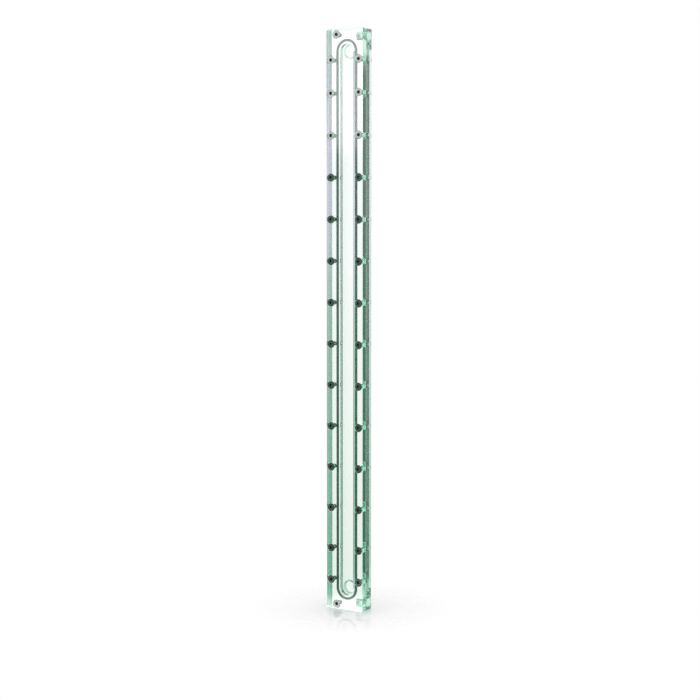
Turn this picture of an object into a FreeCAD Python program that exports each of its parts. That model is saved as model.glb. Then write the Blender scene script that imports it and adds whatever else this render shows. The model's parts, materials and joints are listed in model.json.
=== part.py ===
import FreeCAD, Part
import math
import os
import Sketcher

# Coolant distribution plate: two clear plates screwed together over a sealed channel.
# The origin is the centre of the rear face. +X is right, +Y points to the rear and
# +Z runs up along the plate. Lengths are in millimetres and angles in degrees.

DRIVING_SIZES = {
    # outer form
    "plate_length": 532.0,
    "plate_width": 38.0,
    "cover_thickness": 6.0,
    "base_thickness": 10.0,
    "edge_bevel": 0.3,
    # film of air that the seal keeps between the two plates
    "joint_gap": 0.1,
    # coolant channel, milled into the front of the base
    "channel_width": 13.7,
    "channel_depth": 5.0,
    "channel_end_inset": 19.5,
    # seal round the channel
    "groove_land": 1.75,
    "groove_width": 2.25,
    "groove_depth": 1.5,
    "seal_side_play": 0.1,
    "seal_face_play": 0.04,
    "seal_roundness": 0.45,
    # coolant ports in the rear face: the minor diameter of a quarter inch pipe thread
    "port_diameter": 11.45,
    "port_mouth": 0.8,
    # blind mounting bores in the right-hand edge
    "side_bore_diameter": 8.0,
    "side_bore_depth": 9.5,
    "side_bore_end_inset": 6.6,
    # countersunk socket screws
    "screw_diameter": 4.0,
    "screw_length": 12.0,
    "screw_tip_bevel": 0.5,
    "head_diameter": 7.5,
    "head_rim": 0.15,
    "head_sink": 0.05,
    "socket_across_flats": 2.5,
    "socket_depth": 1.5,
    "seat_play": 0.05,
    "shank_play": 0.2,
    "thread_play": 0.04,
    "tapped_run_out": 1.0,
    "drill_point_angle": 118.0,
    "countersink_angle": 90.0,
    # where the screws stand
    "last_screw_end_inset": 27.25,
    "last_screw_pitch": 29.75,
    "screw_edge_inset": 4.5,
    "end_screw_end_inset": 4.7,
    "end_screw_side_inset": 10.4,
}

# Screws of one edge that stand at an even pitch, leaving out the last one at each end.
EVEN_SCREWS = 12

# Sizes that follow from the driving ones, each from those above it.
DERIVED_SIZES = {
    "cover_rear": "base_thickness + joint_gap",
    "total_thickness": "cover_rear + cover_thickness",
    "half_width": "plate_width / 2",
    "channel_radius": "channel_width / 2",
    "channel_reach": "plate_length / 2 - channel_end_inset",
    "groove_inner_radius": "channel_radius + groove_land",
    "groove_outer_radius": "groove_inner_radius + groove_width",
    "seal_inner_radius": "groove_inner_radius + seal_side_play",
    "seal_outer_radius": "groove_outer_radius - seal_side_play",
    "seal_floor": "base_thickness - groove_depth + seal_face_play",
    "seal_height": "groove_depth + joint_gap - 2 * seal_face_play",
    "seal_rounding": "seal_roundness * seal_height",
    "port_mouth_diameter": "port_diameter + 2 * port_mouth",
    "side_bore_setback": "base_thickness / 2",
    "side_bore_reach": "plate_length / 2 - side_bore_end_inset",
    "head_radius": "head_diameter / 2",
    "shank_radius": "screw_diameter / 2",
    "head_cone_end": "head_rim + head_radius - shank_radius",
    "tip_start": "screw_length - screw_tip_bevel",
    "tip_radius": "shank_radius - screw_tip_bevel",
    "countersink_diameter": "head_diameter + 2 * (head_sink + head_rim + seat_play)",
    "clearance_diameter": "screw_diameter + 2 * shank_play",
    "tapped_diameter": "screw_diameter + 2 * thread_play",
    "tapped_depth": "head_sink + screw_length - cover_thickness - joint_gap + tapped_run_out",
    "head_setback": "total_thickness - head_sink",
    "edge_screw_across": "half_width - screw_edge_inset",
    "end_screw_across": "half_width - end_screw_side_inset",
    "end_screw_up": "plate_length / 2 - end_screw_end_inset",
    "even_screw_reach": "plate_length / 2 - last_screw_end_inset - last_screw_pitch",
    "screw_pitch": f"2 * even_screw_reach / {EVEN_SCREWS - 1}",
    "edge_screw_up_1": "screw_pitch / 2",
    "edge_screw_up_2": "edge_screw_up_1 + screw_pitch",
    "edge_screw_up_3": "edge_screw_up_2 + screw_pitch",
    "edge_screw_up_4": "edge_screw_up_3 + screw_pitch",
    "edge_screw_up_5": "edge_screw_up_4 + screw_pitch",
    "edge_screw_up_6": "edge_screw_up_5 + screw_pitch",
    "edge_screw_up_7": "edge_screw_up_6 + last_screw_pitch",
}

# Each group of screws: the side of the middle that it stands on, and its named places.
EDGE_ROWS = [name for name in DERIVED_SIZES if name.startswith("edge_screw_up")]
SCREW_GROUPS = {
    "left_edge_screws": (-1, "edge_screw_across", EDGE_ROWS),
    "right_edge_screws": (1, "edge_screw_across", EDGE_ROWS),
    "end_screws": (-1, "end_screw_across", ["end_screw_up"]),
}

BOTH_WAYS = (1, -1)

# How a sketch numbers its own two axes and the points of a curve.
HORIZONTAL_AXIS, VERTICAL_AXIS = range(-1, -3, -1)
START, END, CENTRE = range(1, 4)
ORIGIN_POINT = (HORIZONTAL_AXIS, START)
NORMAL = FreeCAD.Vector(0, 0, 1)

doc = FreeCAD.newDocument("coolant_distribution_plate")
sheet = doc.addObject("Spreadsheet::Sheet", "Sizes")


def fill_sheet():
    """Writes every size into the sheet, one row each, under its own name."""
    rows = [(name, str(value)) for name, value in DRIVING_SIZES.items()]
    rows += [(name, "=" + formula) for name, formula in DERIVED_SIZES.items()]
    for row, (name, content) in enumerate(rows, start=1):
        sheet.set(f"A{row}", name)
        sheet.setAlias(f"B{row}", name)
        sheet.set(f"B{row}", content)
    doc.recompute()


def size(name):
    """Returns the present value of a named size."""
    return float(sheet.get(name))


def bind(item, path, name, side=1):
    """Ties a property of an object to a named size, or to its negative."""
    sign = "-" if side < 0 else ""
    item.setExpression(path, f"{sign}Sizes.{name}")


def new_body(name):
    """Starts a body whose label is the name of its node."""
    body = doc.addObject("PartDesign::Body", name)
    body.Label = name
    return body


def new_sketch(body, name, role, lift=None, flipped=False):
    """Adds a sketch on one of the body's own planes, lifted off it by a named size."""
    sketch = body.newObject("Sketcher::SketchObject", name)
    plane = next(item for item in body.Origin.OriginFeatures if item.Role == role)
    sketch.AttachmentSupport = [(plane, "")]
    sketch.MapMode = "FlatFace"
    sketch.MapReversed = flipped
    if lift:
        bind(sketch, "AttachmentOffset.Base.z", lift)
    return sketch


def tie(sketch, kind, *places):
    """Adds a constraint that has no size."""
    sketch.addConstraint(Sketcher.Constraint(kind, *places))


def fix(sketch, label, name, kind, *places):
    """Adds a dimension that follows a named size."""
    sketch.addConstraint(Sketcher.Constraint(kind, *places, size(name)))
    sketch.renameConstraint(sketch.ConstraintCount - 1, label)
    bind(sketch, f"Constraints.{label}", name)


def fix_from_origin(sketch, label, name, kind, point, side=1):
    """Sets how far a point lies from the sketch's origin, on one side of it."""
    ends = (*ORIGIN_POINT, *point) if side > 0 else (*point, *ORIGIN_POINT)
    fix(sketch, label, name, kind, *ends)


def add_outline(sketch, points):
    """Draws a closed run of straight lines through the points and returns the lines."""
    lines = []
    for first, last in zip(points, points[1:] + points[:1]):
        segment = Part.LineSegment(FreeCAD.Vector(*first, 0), FreeCAD.Vector(*last, 0))
        lines.append(sketch.addGeometry(segment))
    for line, following in zip(lines, lines[1:] + lines[:1]):
        tie(sketch, "Coincident", line, END, following, START)
    return lines


def add_rectangle(sketch, width, height):
    """Draws a rectangle centred on the origin."""
    x, y = size(width) / 2, size(height) / 2
    low, right, top, left = add_outline(sketch, [(-x, -y), (x, -y), (x, y), (-x, y)])
    for line in (low, top):
        tie(sketch, "Horizontal", line)
    for line in (left, right):
        tie(sketch, "Vertical", line)
    tie(sketch, "Symmetric", low, START, top, START, *ORIGIN_POINT)
    fix(sketch, "width", width, "DistanceX", low, START, low, END)
    fix(sketch, "height", height, "DistanceY", right, START, right, END)


def add_circle(sketch, label, diameter, across, across_side, up, up_side):
    """Draws a circle at named distances from the origin, or on the upright axis."""
    x = across_side * size(across) if across else 0.0
    y = up_side * size(up)
    outline = Part.Circle(FreeCAD.Vector(x, y, 0), NORMAL, size(diameter) / 2)
    circle = sketch.addGeometry(outline)
    centre = (circle, CENTRE)
    fix(sketch, f"{label}_diameter", diameter, "Diameter", circle)
    if across:
        fix_from_origin(sketch, f"{label}_across", across, "DistanceX", centre, across_side)
    else:
        tie(sketch, "PointOnObject", *centre, VERTICAL_AXIS)
    fix_from_origin(sketch, f"{label}_up", up, "DistanceY", centre, up_side)


def add_slot(sketch, label, radius, reach):
    """Draws an upright slot with round ends, centred on the origin."""
    r, c = size(radius), size(reach)
    upper = Part.Circle(FreeCAD.Vector(0, c, 0), NORMAL, r)
    lower = Part.Circle(FreeCAD.Vector(0, -c, 0), NORMAL, r)
    left_side = Part.LineSegment(FreeCAD.Vector(-r, c, 0), FreeCAD.Vector(-r, -c, 0))
    right_side = Part.LineSegment(FreeCAD.Vector(r, -c, 0), FreeCAD.Vector(r, c, 0))
    top = sketch.addGeometry(Part.ArcOfCircle(upper, 0, math.pi))
    left = sketch.addGeometry(left_side)
    low = sketch.addGeometry(Part.ArcOfCircle(lower, math.pi, 2 * math.pi))
    right = sketch.addGeometry(right_side)
    for curve, following in ((top, left), (left, low), (low, right), (right, top)):
        tie(sketch, "Tangent", curve, END, following, START)
    for arc in (top, low):
        tie(sketch, "PointOnObject", arc, CENTRE, VERTICAL_AXIS)
    tie(sketch, "Vertical", left)
    fix(sketch, f"{label}_radius", radius, "Radius", top)
    fix_from_origin(sketch, f"{label}_top", reach, "DistanceY", (top, CENTRE))
    fix_from_origin(sketch, f"{label}_low", reach, "DistanceY", (low, CENTRE), -1)


def add_hexagon(sketch, across_flats):
    """Draws a hexagon round the origin with two upright sides."""
    radius = size(across_flats) / math.sqrt(3)
    angles = [math.radians(30 + 60 * i) for i in range(6)]
    corners = [(radius * math.cos(a), radius * math.sin(a)) for a in angles]
    lines = add_outline(sketch, corners)
    ring = sketch.addGeometry(Part.Circle(FreeCAD.Vector(0, 0, 0), NORMAL, radius), True)
    tie(sketch, "Coincident", ring, CENTRE, *ORIGIN_POINT)
    for line in lines:
        tie(sketch, "PointOnObject", line, START, ring)
    for line in lines[1:]:
        tie(sketch, "Equal", lines[0], line)
    tie(sketch, "Vertical", lines[5])
    fix(sketch, "across_flats", across_flats, "DistanceX", lines[2], START, lines[5], END)


def add_screw_circles(sketch, diameter):
    """Draws a circle for every screw of the plate."""
    for group, (side, across, rows) in SCREW_GROUPS.items():
        for number, up in enumerate(rows):
            for way in BOTH_WAYS:
                label = f"{group}_{number}_{'up' if way > 0 else 'down'}"
                add_circle(sketch, label, diameter, across, side, up, way)


def add_pad(body, sketch, name, length):
    """Adds a block of the sketch's outline."""
    pad = body.newObject("PartDesign::Pad", name)
    pad.Profile = sketch
    bind(pad, "Length", length)
    doc.recompute()
    return pad


def add_pocket(body, sketch, name, depth):
    """Cuts the sketch's outline into the body."""
    before = body.Shape.Volume
    pocket = body.newObject("PartDesign::Pocket", name)
    pocket.Profile = sketch
    bind(pocket, "Length", depth)
    doc.recompute()
    check_cut(body, name, before)


def add_holes(body, sketch, name, diameter, depth=None, mouth=None):
    """Drills the sketch's circles, right through or blind with a drill point."""
    before = body.Shape.Volume
    doc.recompute()
    hole = body.newObject("PartDesign::Hole", name)
    hole.Profile = sketch
    hole.ThreadType = "None"
    bind(hole, "Diameter", diameter)
    hole.DepthType = "Dimension" if depth else "ThroughAll"
    hole.DrillPoint = "Angled" if depth else "Flat"
    if depth:
        bind(hole, "Depth", depth)
        bind(hole, "DrillPointAngle", "drill_point_angle")
    if mouth:
        hole.HoleCutType = "Countersink"
        bind(hole, "HoleCutDiameter", mouth)
        bind(hole, "HoleCutCountersinkAngle", "countersink_angle")
    doc.recompute()
    check_cut(body, name, before)


def check_cut(body, name, before):
    """Stops the build if a cut left the body as it was."""
    if not body.Shape.Volume < before:
        raise RuntimeError(f"{name} took nothing away from {body.Label}")


def add_bevels(body, block):
    """Takes a small bevel off every edge of a plain block."""
    edges = [f"Edge{i + 1}" for i in range(len(block.Shape.Edges))]
    bevel = body.newObject("PartDesign::Chamfer", f"{body.Name}_bevel")
    bevel.Base = (block, edges)
    bind(bevel, "Size", "edge_bevel")
    doc.recompute()


def make_base():
    """Builds the base: channel, seal groove, tapped holes, ports and side bores."""
    body = new_body("base_plate")
    outline = new_sketch(body, "base_outline", "XZ_Plane")
    add_rectangle(outline, "plate_width", "plate_length")
    add_bevels(body, add_pad(body, outline, "base_block", "base_thickness"))

    channel = new_sketch(body, "channel_outline", "XZ_Plane", "base_thickness")
    add_slot(channel, "channel", "channel_radius", "channel_reach")
    add_pocket(body, channel, "channel", "channel_depth")

    groove = new_sketch(body, "groove_outline", "XZ_Plane", "base_thickness")
    add_slot(groove, "inner", "groove_inner_radius", "channel_reach")
    add_slot(groove, "outer", "groove_outer_radius", "channel_reach")
    add_pocket(body, groove, "seal_groove", "groove_depth")

    tapped = new_sketch(body, "tapped_centres", "XZ_Plane", "base_thickness")
    add_screw_circles(tapped, "tapped_diameter")
    add_holes(body, tapped, "tapped_holes", "tapped_diameter", depth="tapped_depth")

    ports = new_sketch(body, "port_centres", "XZ_Plane", flipped=True)
    bores = new_sketch(body, "side_bore_centres", "YZ_Plane", "half_width")
    for label, way in zip(("upper", "lower"), BOTH_WAYS):
        add_circle(ports, label, "port_diameter", None, 0, "channel_reach", way)
        add_circle(
            bores, label, "side_bore_diameter", "side_bore_setback", -1, "side_bore_reach", way
        )
    add_holes(body, ports, "ports", "port_diameter", mouth="port_mouth_diameter")
    add_pocket(body, bores, "side_bores", "side_bore_depth")
    return body


def make_cover():
    """Builds the front cover with a countersunk hole for every screw."""
    body = new_body("front_cover")
    outline = new_sketch(body, "cover_outline", "XZ_Plane", "cover_rear")
    add_rectangle(outline, "plate_width", "plate_length")
    add_bevels(body, add_pad(body, outline, "cover_block", "cover_thickness"))
    holes = new_sketch(body, "cover_hole_centres", "XZ_Plane", "total_thickness")
    add_screw_circles(holes, "clearance_diameter")
    add_holes(body, holes, "cover_holes", "clearance_diameter", mouth="countersink_diameter")
    return body


def make_seal():
    """Builds the seal as it lies squeezed in its groove, with rounded flanks."""
    body = new_body("channel_seal")
    outline = new_sketch(body, "seal_outline", "XZ_Plane", "seal_floor")
    add_slot(outline, "inner", "seal_inner_radius", "channel_reach")
    add_slot(outline, "outer", "seal_outer_radius", "channel_reach")
    band = add_pad(body, outline, "seal_band", "seal_height")
    flat_edges = [
        f"Edge{i + 1}"
        for i, edge in enumerate(band.Shape.Edges)
        if edge.BoundBox.YLength < size("seal_rounding")
    ]
    rounding = body.newObject("PartDesign::Fillet", "seal_flanks")
    rounding.Base = (band, flat_edges)
    bind(rounding, "Radius", "seal_rounding")
    doc.recompute()
    return body


def make_screw():
    """Builds one screw along +Y, with the flat of its head at the origin."""
    body = new_body("screw")
    profile = new_sketch(body, "screw_profile", "XY_Plane")
    corners = [
        ("head_radius", "head_rim"),
        ("shank_radius", "head_cone_end"),
        ("shank_radius", "tip_start"),
        ("tip_radius", "screw_length"),
    ]
    points = [(0, 0), (size("head_radius"), 0)]
    points += [(size(across), size(along)) for across, along in corners]
    points += [(0, size("screw_length"))]
    flat, *rims, end_flat, middle = add_outline(profile, points)
    tie(profile, "Coincident", flat, START, *ORIGIN_POINT)
    tie(profile, "Horizontal", flat)
    tie(profile, "Vertical", rims[0])
    tie(profile, "Horizontal", end_flat)
    tie(profile, "Vertical", middle)
    for number, (line, (across, along)) in enumerate(zip(rims, corners)):
        corner = (line, END)
        fix_from_origin(profile, f"across_{number}", across, "DistanceX", corner)
        fix_from_origin(profile, f"along_{number}", along, "DistanceY", corner)
    turned = body.newObject("PartDesign::Revolution", "screw_turned")
    turned.Profile = profile
    turned.ReferenceAxis = (profile, ["V_Axis"])
    turned.Angle = 360.0
    doc.recompute()

    socket = new_sketch(body, "socket_outline", "XZ_Plane")
    add_hexagon(socket, "socket_across_flats")
    add_pocket(body, socket, "socket", "socket_depth")
    return body


def make_screw_group(screw, label):
    """Sets copies of the screw at the places of one group and joins them."""
    side, across, rows = SCREW_GROUPS[label]
    copies = []
    for up in rows:
        for way in BOTH_WAYS:
            copy = doc.addObject("App::Link", f"{label}_{len(copies) + 1}")
            copy.LinkedObject = screw
            bind(copy, "Placement.Base.x", across, side)
            bind(copy, "Placement.Base.y", "head_setback", -1)
            bind(copy, "Placement.Base.z", up, way)
            copies.append(copy)
    group = doc.addObject("Part::Compound", label)
    group.Links = copies
    group.Label = label
    return group


def check_document(sub_parts):
    """Stops the build if any object failed or any sub-part is not a sound solid."""
    for item in doc.Objects:
        if "Invalid" in item.State or "Error" in item.State:
            raise RuntimeError(f"{item.Label} is not sound: {item.State}")
    for item in sub_parts:
        if item.Shape.isNull() or not item.Shape.isValid() or not item.Shape.Solids:
            raise RuntimeError(f"{item.Label} has no sound solid")


def main():
    """Builds every sub-part, checks it and writes it to its file."""
    fill_sheet()
    screw = make_screw()
    sub_parts = [make_base(), make_cover(), make_seal()]
    sub_parts += [make_screw_group(screw, label) for label in SCREW_GROUPS]
    doc.recompute()
    check_document(sub_parts)
    os.makedirs("parts", exist_ok=True)
    for item in sub_parts:
        item.Shape.exportStep(f"parts/{item.Label}.step")


main()
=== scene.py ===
"""Looks of a coolant distribution plate: two clear plates screwed together over a sealed channel.

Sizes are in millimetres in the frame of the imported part: the origin is the centre of the rear
face, +X is right, +Y points to the rear and +Z runs up along the plate. Meshes are in metres.
"""
import json
import logging
import math
from dataclasses import dataclass, field
from enum import Enum

import bmesh
import bpy
import numpy as np
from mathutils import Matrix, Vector
from mathutils.geometry import delaunay_2d_cdt


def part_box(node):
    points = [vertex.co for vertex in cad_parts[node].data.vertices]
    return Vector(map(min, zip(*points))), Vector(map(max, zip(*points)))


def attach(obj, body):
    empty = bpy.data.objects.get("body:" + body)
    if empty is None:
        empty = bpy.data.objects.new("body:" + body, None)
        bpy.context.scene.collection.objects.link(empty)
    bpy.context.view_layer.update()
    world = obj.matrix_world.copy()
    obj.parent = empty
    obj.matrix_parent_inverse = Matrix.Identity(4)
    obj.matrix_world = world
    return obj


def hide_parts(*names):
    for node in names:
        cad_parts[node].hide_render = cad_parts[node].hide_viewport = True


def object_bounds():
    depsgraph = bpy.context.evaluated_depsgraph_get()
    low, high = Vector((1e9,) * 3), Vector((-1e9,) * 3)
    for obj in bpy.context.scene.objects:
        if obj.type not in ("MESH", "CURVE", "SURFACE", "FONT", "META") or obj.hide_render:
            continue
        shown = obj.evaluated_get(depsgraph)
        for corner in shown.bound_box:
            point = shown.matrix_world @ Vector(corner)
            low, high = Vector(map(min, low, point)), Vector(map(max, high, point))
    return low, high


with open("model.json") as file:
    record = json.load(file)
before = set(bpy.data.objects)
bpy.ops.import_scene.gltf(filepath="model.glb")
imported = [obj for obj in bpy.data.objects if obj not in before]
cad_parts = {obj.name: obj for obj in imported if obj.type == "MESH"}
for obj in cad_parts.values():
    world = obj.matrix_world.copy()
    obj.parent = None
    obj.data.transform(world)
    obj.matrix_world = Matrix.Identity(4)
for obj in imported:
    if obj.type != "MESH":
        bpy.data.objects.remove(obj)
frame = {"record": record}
CAD_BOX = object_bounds()

log = logging.getLogger("coolant_plate")
Array = np.ndarray
Span = tuple[float, float]
Point = tuple[float, float]
Colour = tuple[float, float, float]
Paint = bpy.types.NodeSocket | tuple[float, float, float, float]

METRES = 0.001
SIZE_DIGITS = 2
WELD_DISTANCE = 1e-7
FILL_TOLERANCE = 1e-6
CONVEX_FILL = 0
FULL_TURN = 2 * math.pi
QUARTER_TURN = math.pi / 2
UPPER_AND_LOWER = (1, -1)
BODY = "root"
RADIUS_LAYER = "from_axis"
WHITE: Colour = (1.0, 1.0, 1.0)


class Facing(Enum):
    """The axis that a flat path is lifted along."""

    REARWARD = "y"
    SIDEWAYS = "x"


class Surface(Enum):
    """Where a surface of a clear plate comes from. The value is the place of its finish on the piece."""

    POLISHED = 0
    CUT = 1
    EDGE = 2
    DRILLED = 3
    BORED = 4
    SUNK = 5
    SAWN = 6
    GROUND = 7


class Slot(Enum):
    """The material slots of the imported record."""

    ACRYLIC = "clear_acrylic"
    RUBBER = "seal_rubber"
    STEEL = "black_steel"


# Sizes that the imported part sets


def millimetres(metres: float) -> float:
    """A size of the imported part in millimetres, free of its mesh's rounding."""
    return round(metres / METRES, SIZE_DIGITS)


def depth_of(node: str) -> Span:
    """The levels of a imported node's front and rear."""
    front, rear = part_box(node)
    return millimetres(front.y), millimetres(rear.y)


def mount(name: str) -> dict:
    """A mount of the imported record, by its name."""
    return next(row for row in frame["record"]["mounts"] if row["name"] == name)


HALF_WIDTH = millimetres(CAD_BOX[1].x)
HALF_HEIGHT = millimetres(CAD_BOX[1].z)
BASE_FRONT, BASE_REAR = depth_of("base_plate")
COVER_FRONT, COVER_REAR = depth_of("front_cover")
SEAL_FRONT, SEAL_REAR = depth_of("channel_seal")
HEAD_LEVEL, TIP_LEVEL = depth_of("left_edge_screws")
PORT = mount("upper_port")
PORT_LEVEL, PORT_HEIGHT = (millimetres(place) for place in PORT["pos_m"][1:])
HALF_PORT_LENGTH = PORT["dims"]["length_mm"] / 2
CHANNEL_FLOOR = round(PORT_LEVEL - HALF_PORT_LENGTH, SIZE_DIGITS)
PORT_MOUTH = round(BASE_REAR - PORT_LEVEL - HALF_PORT_LENGTH, SIZE_DIGITS)
SIDE_BORE = mount("upper_side_bore")
BORE_LEVEL, BORE_HEIGHT = (millimetres(place) for place in SIDE_BORE["pos_m"][1:])


# Surfaces


@dataclass
class Path:
    """A closed flat path that can be widened: a point is its anchor plus a radius times its normal.

    Args:
        anchors: One fixed point for each step of the path, as (steps, 2).
        normals: The unit direction in which that step moves outwards, as (steps, 2).
    """

    anchors: Array
    normals: Array

    @classmethod
    def circle(cls, centre: Point | Array, steps: int) -> "Path":
        """A circle: one anchor in the centre, and normals at even angles."""
        angle = np.arange(steps) * FULL_TURN / steps
        return cls(np.tile(centre, (steps, 1)), np.stack([np.cos(angle), np.sin(angle)], -1))

    @classmethod
    def stadium(cls, reach: float, arc_steps: int, run_steps: int) -> "Path":
        """Two half circles joined by two straight runs.

        On an arc the anchor is the arc's centre and the normal turns through half a turn.
        On a run the normal stays level while the anchor slides from one centre to the other.

        Args:
            reach: The height of the upper arc's centre over the middle.
            arc_steps: How many steps each half circle has.
            run_steps: How many steps each straight run has.

        Returns:
            The path, anticlockwise from the right end of the upper arc.
        """
        turn = np.arange(arc_steps) * math.pi / arc_steps
        slide = reach * (1 - 2 * np.arange(run_steps) / run_steps)
        arc = np.stack([np.cos(turn), np.sin(turn)], -1)
        level = np.tile([1.0, 0.0], (run_steps, 1))
        normals = np.concatenate([arc, -level, -arc, level])
        heights = np.concatenate(
            [np.full(arc_steps, reach), slide, np.full(arc_steps, -reach), -slide]
        )
        return cls(np.stack([np.zeros_like(heights), heights], -1), normals)

    @classmethod
    def rounded_box(cls, half: Point, corner: float, steps: int) -> "Path":
        """A rectangle whose corners are quarter circles round anchors set in by the corner radius.

        Args:
            half: Half the width and half the height.
            corner: The corner radius, at which the rectangle has its full size.
            steps: How many steps each quarter circle has.

        Returns:
            The path, from the foot of the upper right corner. The side from its last point to
            its first is the straight right side.
        """
        turn = np.linspace(0, QUARTER_TURN, steps + 1)
        signs = np.array([[1, 1], [-1, 1], [-1, -1], [1, -1]])
        angle = np.concatenate([turn + QUARTER_TURN * quarter for quarter in range(len(signs))])
        anchors = np.repeat(signs, steps + 1, axis=0) * (np.array(half) - corner)
        return cls(anchors, np.stack([np.cos(angle), np.sin(angle)], -1))

    def at(self, radius: float) -> Array:
        """The path at one radius, as (steps, 2)."""
        return self.anchors + radius * self.normals

    def lifted(self, radii: Array, levels: Array, facing: Facing = Facing.REARWARD) -> Array:
        """The surface that the path sweeps while its radius and its level change row by row.

        Args:
            radii: One radius for each row, or for each row and step.
            levels: The level of each row along the facing axis.
            facing: The axis that the path is lifted along.

        Returns:
            Points as (rows, steps, 3).
        """
        spread = np.asarray(radii, float)
        spread = spread[:, None] if spread.ndim == 1 else spread
        flat = self.anchors[None] + spread[..., None] * self.normals[None]
        level = np.broadcast_to(np.asarray(levels, float)[:, None], flat.shape[:2])
        if facing is Facing.SIDEWAYS:
            return np.stack([level, flat[..., 0], flat[..., 1]], -1)
        return np.stack([flat[..., 0], level, flat[..., 1]], -1)


def quarter_round(radius: float, steps: int) -> tuple[Array, Array]:
    """A rounded edge: the radius less its sine and its cosine over a quarter turn.

    Args:
        radius: The radius of the edge.
        steps: How many steps the quarter circle has.

    Returns:
        How far each point lies inside the outline, and how far below the face.
    """
    turn = np.linspace(0, QUARTER_TURN, steps + 1)
    return radius * (1 - np.sin(turn)), radius * (1 - np.cos(turn))


def thread_height(levels: Array, angles: Array, pitch: float, run_out: float) -> Array:
    """The height of a screw thread over its root, from 0 to 1, on a grid of levels and angles.

    The phase is the level over the pitch less the angle over a full turn, so it climbs one pitch
    a turn. A triangle wave of the phase is cut flat at a quarter of its height for the root and
    at seven eighths for the crest, and it fades to nothing over the run-out at both ends.

    Args:
        levels: The levels of the rows.
        angles: The angles of the steps round the axis.
        pitch: The rise of one turn.
        run_out: The length over which the thread fades at each end.

    Returns:
        Heights as (rows, steps).
    """
    root_cut, crest_cut = 0.25, 0.875
    phase = (levels[:, None] / pitch - angles[None] / FULL_TURN) % 1.0
    wave = 1 - np.abs(2 * phase - 1)
    ridge = np.clip((wave - root_cut) / (crest_cut - root_cut), 0, 1)
    ends = np.minimum(levels - levels.min(), levels.max() - levels)
    return ridge * np.clip(ends / run_out, 0, 1)[:, None]


def grid_triangles(rows: int, steps: int, ring: bool, loop: bool = False) -> Array:
    """Two triangles for each cell of a grid of points.

    Args:
        rows: How many rows the grid has.
        steps: How many points each row has.
        ring: Whether each row closes on itself.
        loop: Whether the last row joins the first.

    Returns:
        Point numbers as (triangles, 3).
    """
    row, step = np.meshgrid(
        np.arange(rows if loop else rows - 1), np.arange(steps if ring else steps - 1), indexing="ij"
    )
    above, beside = (row + 1) % rows, (step + 1) % steps
    a, b = row * steps + step, row * steps + beside
    c, d = above * steps + beside, above * steps + step
    return np.concatenate([np.stack([a, b, c], -1), np.stack([a, c, d], -1)]).reshape(-1, 3)


def outward(points: Array, triangles: Array) -> Array:
    """Turns the triangles of one closed solid outwards: it is inside out if its volume is negative.

    Args:
        points: The solid's points.
        triangles: Its triangles, all turned the same way.

    Returns:
        The triangles, turned outwards.
    """
    a, b, c = points.reshape(-1, 3)[triangles.T]
    volume = np.einsum("ij,ij->i", a, np.cross(b, c)).sum()
    return triangles if volume > 0 else triangles[:, ::-1]


def inside_loops(points: Array, loops: list[Array]) -> Array:
    """Tells which points lie inside an outline and outside its holes.

    A level line is drawn from each point to the right. The point is inside where that line
    crosses the edges of all the loops together an odd number of times.

    Args:
        points: The points to test, as (count, 2).
        loops: The closed loops, as (steps, 2) each.

    Returns:
        True for each point that is inside.
    """
    start = np.concatenate(loops)
    end = np.concatenate([np.roll(loop, -1, axis=0) for loop in loops])
    height = points[:, 1][:, None]
    spans = (start[:, 1] > height) != (end[:, 1] > height)
    rise = np.where(end[:, 1] == start[:, 1], 1.0, end[:, 1] - start[:, 1])
    crossing = start[:, 0] + (height - start[:, 1]) * (end[:, 0] - start[:, 0]) / rise
    return np.count_nonzero(spans & (points[:, 0][:, None] < crossing), axis=1) % 2 == 1


def flat_triangles(loops: list[Array]) -> tuple[Array, Array]:
    """Fills the space between an outline and its holes with triangles.

    Triangles fill the outline and the holes together, and those inside a hole are dropped.

    Args:
        loops: The outline and the holes, as (steps, 2) each.

    Returns:
        The points as (count, 2) and the triangles as (count, 3).
    """
    counts = [len(loop) for loop in loops]
    starts = np.cumsum([0, *counts[:-1]])
    steps = [np.arange(count) for count in counts]
    edges = np.concatenate(
        [
            np.stack([step, (step + 1) % count], -1) + start
            for step, count, start in zip(steps, counts, starts)
        ]
    )
    points = [Vector(point) for point in np.concatenate(loops).tolist()]
    filled = delaunay_2d_cdt(points, edges.tolist(), [], CONVEX_FILL, FILL_TOLERANCE)
    corners = np.array([tuple(point) for point in filled[0]])
    triangles = np.array(filled[2])
    return corners, triangles[inside_loops(corners[triangles].mean(axis=1), loops)]


def new_mesh(name: str, points: Array, triangles: Array) -> bpy.types.Mesh:
    """A mesh in metres.

    Args:
        name: The name of the mesh.
        points: Its points in millimetres, in any grid shape.
        triangles: Its triangles.

    Returns:
        The mesh.
    """
    mesh = bpy.data.meshes.new(name)
    mesh.from_pydata(points.reshape(-1, 3) * METRES, [], triangles.reshape(-1, 3))
    return mesh


def placed(mesh: bpy.types.Mesh, sharp_from: float) -> bpy.types.Object:
    """Shades a mesh smooth up to an angle and puts it in the scene.

    Args:
        mesh: The mesh, in place.
        sharp_from: The angle in degrees from which an edge stays sharp.

    Returns:
        The object, at the origin.
    """
    mesh.shade_smooth()
    mesh.set_sharp_from_angle(angle=math.radians(sharp_from))
    thing = bpy.data.objects.new(mesh.name, mesh)
    bpy.context.scene.collection.objects.link(thing)
    return thing


def hand_over(thing: bpy.types.Object, node: str) -> None:
    """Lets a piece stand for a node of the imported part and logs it.

    Args:
        thing: The finished piece.
        node: The node that it stands for.
    """
    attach(thing, BODY)
    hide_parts(node)
    log.info("%s: %d triangles for %s", thing.name, len(thing.data.polygons), node)


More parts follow.
